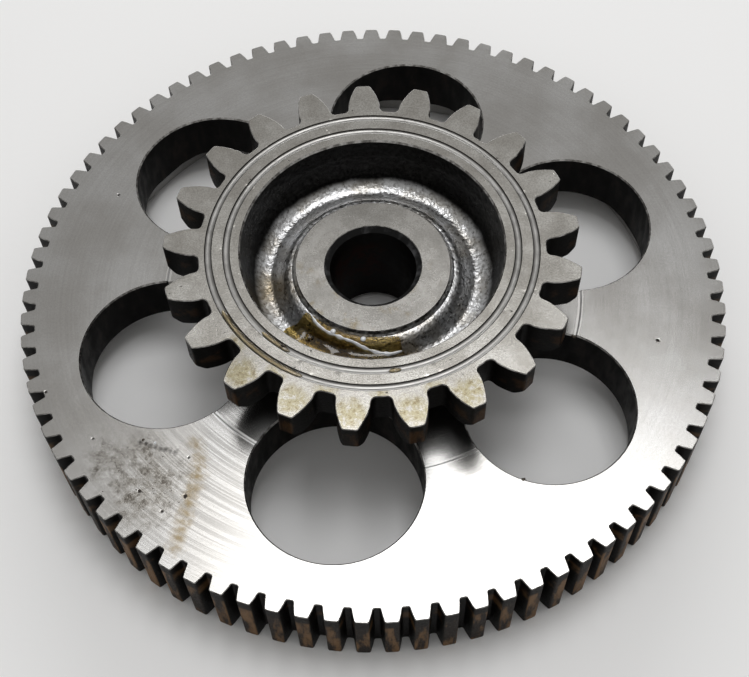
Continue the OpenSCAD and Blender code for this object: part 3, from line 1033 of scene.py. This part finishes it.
def groove_oil(name, low, high, groove, skin):
    """Oil lying in a stretch of a face groove."""
    oil_patch(name, np.arange(low, high + 0.01, 0.4),
              lambda a: groove + 0.06 * noise.noise(Vector((a * 0.4, 2.0, 0))),
              lambda a: 0.72 * taper(a, low, high, 3.0),
              lambda a: 0.30 * taper(a, low, high, 3.0),
              lambda r: FRONT_Z - 0.36, 0.1, skin)


def meniscus(skin):
    """A pale strip painted as the highlight along the pool's rim, wandering outwards from the hub's shoulder.
    """
    first, last = MENISCUS_ANGLES

    def middle(a):
        share = (a - first) / (last - first)
        wander = 0.22 * noise.noise(Vector((a * 0.13, 5.0, 0)))
        return HUB_RADIUS + 0.6 + 2.6 * share + 0.3 * math.sin(3 * math.pi * share) + wander

    oil_patch("oil_meniscus_highlight", np.arange(first, last, 0.5), middle,
              lambda a: (0.34 + 0.20 * noise.noise(Vector((a * 0.3, 8.0, 0)))) * taper(a, first, last, 6.0),
              lambda a: 0.30 * taper(a, first, last, 6.0),
              lambda r: max(dish_height(r) + 0.15, FLOOR_Z + 1.10), 0.12, skin, across=8)


def build_oil(oil, thin_oil, highlight_skin):
    dish_oil(oil)
    for name, low, high, groove in GROOVE_OIL:
        groove_oil(name, low, high, groove, thin_oil)
    meniscus(highlight_skin)


def dome(shell, x, y, z, radius, height, squash, finish=0, rings=5, sides=16):
    """A small drop or chip on a surface; squash makes its outline uneven."""
    loops = []
    ways = [(math.cos(b), math.sin(b)) for b in np.arange(sides) * TAU / sides]
    for i in range(rings):
        a = math.pi / 2 * i / rings
        loop = []
        for c, s in ways:
            wide = radius * (1 + squash * noise.noise(Vector((x + 3 * c, y + 3 * s, i)))) * math.cos(a)
            loop.append((x + wide * c, y + wide * s))
        loops.append(shell.add(loop, z + height * math.sin(a)))
    crown = shell.add([(x, y)], z + height)[0]
    foot = shell.add([(x, y)], z - 0.05)[0]
    for p, q in zip(loops[:-1], loops[1:]):
        shell.strip(p, q, finish)
    for i in range(sides):
        shell.face([loops[-1][i - 1], loops[-1][i], crown], finish)
        shell.face([loops[0][i - 1], loops[0][i], foot], finish)


def build_drops(oil, highlight_skin):
    """A drop and bubbles on the dish's oil, drops on the near teeth and a bubble on the wheel; the bubbles
    wear a pale painted highlight.
    """
    shell = Shell()
    # the bubbles and the wheel's bubble take the pale skin, a painted highlight
    wet, pale = 0, 1
    for (r, a, size), skin in ((DISH_DROP, wet), *((bubble, pale) for bubble in DISH_BUBBLES)):
        dome(shell, *polar_deg(r, a), max(FLOOR_Z + 1.0, dish_height(r) + 0.2), size, size * 0.6, 0.1, skin)
    draw = random.Random(SEED + 1)
    for k in NEAR_TEETH:
        for _ in range(3):
            p = polar_deg(draw.uniform(31.5, 35.0), tooth_angle(k) + draw.uniform(-2.5, 2.5))
            dome(shell, *p, FRONT_Z - 0.16, draw.uniform(0.2, 0.42), 0.155, 0.3)
    dome(shell, *polar_deg(*WHEEL_BUBBLE), RIM_WIDTH - 0.04, 0.26, 0.18, 0.2, pale)
    shell.piece("oil_drops", [oil, highlight_skin], smooth_below=80)


def build_grit():
    """Grit in the stained patch, a chip on the wheel, one in a groove, and swarf on the holes' edges."""
    shell = Shell()
    draw = random.Random(SEED + 2)
    for _ in range(26):
        p = polar_deg(draw.gauss(*GRIT_RADIUS), draw.gauss(*GRIT_ANGLE))
        if min(np.linalg.norm(p - c) for c in hole_centres()) > HOLE_RADIUS + 0.9:
            size = draw.uniform(0.06, 0.15)
            dome(shell, *p, RIM_WIDTH - 0.02, size, size * 0.6, 0.9, rings=2, sides=6)
    for (r, a, size), z, height in ((WHEEL_CHIP, RIM_WIDTH, 0.104), (GROOVE_CHIP, FRONT_Z - 0.32, 0.28)):
        dome(shell, *polar_deg(r, a), z - 0.02, size, height, 0.8, rings=3, sides=9)
    for hole, a in HOLE_SWARF:
        p = hole_centres()[hole] + polar_deg(HOLE_RADIUS + 0.1, a)
        dome(shell, *p, front_height(math.hypot(*p)) - 0.25, 0.45, 0.35, 0.9, rings=3, sides=8)
    shell.piece("grit_specks", [grit()], smooth_below=20)


# ---- stage ----------------------------------------------------------------

# the camera's place, tilt, lens and shift, fitted so that the view matches the photo's
CAMERA_PLACE = Vector((4.6, -130.5, 211.1)) * MM
CAMERA_ELEVATION = 59.57
CAMERA_LENS = 61.97
CAMERA_SHIFT = (-0.0326, 0.0260)
SENSOR_WIDTH = 36.0
# floor and lights in metres; the floor lies just below the wheel's back
FLOOR_REACH, FLOOR_DROP = 2.0, 0.0002
TOP_LIGHT = {"place": (0.055, 0.165, 0.80), "target": (0.055, 0.165, 0), "size": (0.40, 0.37), "power": 2.5}
BACK_LIGHT = {"place": (0.0, 1.60, 0.70), "target": (0.0, 0.0, 0.0), "size": (1.20, 0.40), "power": 9.0}
# the surroundings brighten from the low to the high strength between these heights of the view's direction
SKY_RISE, SKY_STRENGTH = (0.15, 0.70), (0.16, 0.46)


def build_camera():
    data = bpy.data.cameras.new("camera")
    data.sensor_width = SENSOR_WIDTH
    data.lens = CAMERA_LENS
    data.shift_x, data.shift_y = CAMERA_SHIFT
    data.clip_start, data.clip_end = 0.01, 10.0
    camera = bpy.data.objects.new("camera", data)
    camera.location = CAMERA_PLACE
    camera.rotation_euler = (math.radians(90 - CAMERA_ELEVATION), 0, 0)
    bpy.context.scene.collection.objects.link(camera)
    bpy.context.scene.camera = camera


def area_light(name, place, target, size, power):
    data = bpy.data.lights.new(name, "AREA")
    data.shape = "RECTANGLE"
    data.size, data.size_y = size
    data.energy = power
    light = bpy.data.objects.new(name, data)
    light.location = place
    light.rotation_mode = "QUATERNION"
    light.rotation_quaternion = (Vector(target) - Vector(place)).to_track_quat("-Z", "Y")
    bpy.context.scene.collection.objects.link(light)


def build_world():
    """Soft studio surroundings: an even pale ceiling that darkens towards the horizon."""
    world = bpy.data.worlds.new("studio")
    world.use_nodes = True
    tree = world.node_tree
    way = tree.nodes.new("ShaderNodeTexCoord")
    parts = tree.nodes.new("ShaderNodeSeparateXYZ")
    rise = tree.nodes.new("ShaderNodeMapRange")
    rise.interpolation_type = "SMOOTHSTEP"
    for name, value in zip(("From Min", "From Max", "To Min", "To Max"), (*SKY_RISE, *SKY_STRENGTH)):
        rise.inputs[name].default_value = value
    tree.links.new(way.outputs["Generated"], parts.inputs[0])
    tree.links.new(parts.outputs["Z"], rise.inputs["Value"])
    tree.links.new(rise.outputs["Result"], tree.nodes["Background"].inputs["Strength"])
    tree.nodes["Background"].inputs["Color"].default_value = (1.0, 0.99, 0.97, 1.0)
    bpy.context.scene.world = world


def build_stage():
    mesh = bpy.data.meshes.new("floor")
    ways = ((-1, -1), (1, -1), (1, 1), (-1, 1))
    corners = [(x * FLOOR_REACH, y * FLOOR_REACH, -FLOOR_DROP) for x, y in ways]
    mesh.from_pydata(corners, [], [(0, 1, 2, 3)])
    mesh.materials.append(pale_floor())
    floor = bpy.data.objects.new("floor", mesh)
    bpy.context.scene.collection.objects.link(floor)
    area_light("softbox_top", **TOP_LIGHT)
    area_light("softbox_back", **BACK_LIGHT)
    build_world()
    bpy.context.scene.view_settings.view_transform = "Standard"


build_camera()
build_stage()
build_wheel()
build_pinion()
gear_oil = oil_film("gear_oil", (0.42, 0.28, 0.07), (0.62, 0.48, 0.18))
thin_gear_oil = oil_film("thin_gear_oil", (0.66, 0.50, 0.25), (0.85, 0.75, 0.52))
painted_highlight_skin = painted_oil_highlight()
build_oil(gear_oil, thin_gear_oil, painted_highlight_skin)
build_drops(gear_oil, painted_highlight_skin)
build_grit()
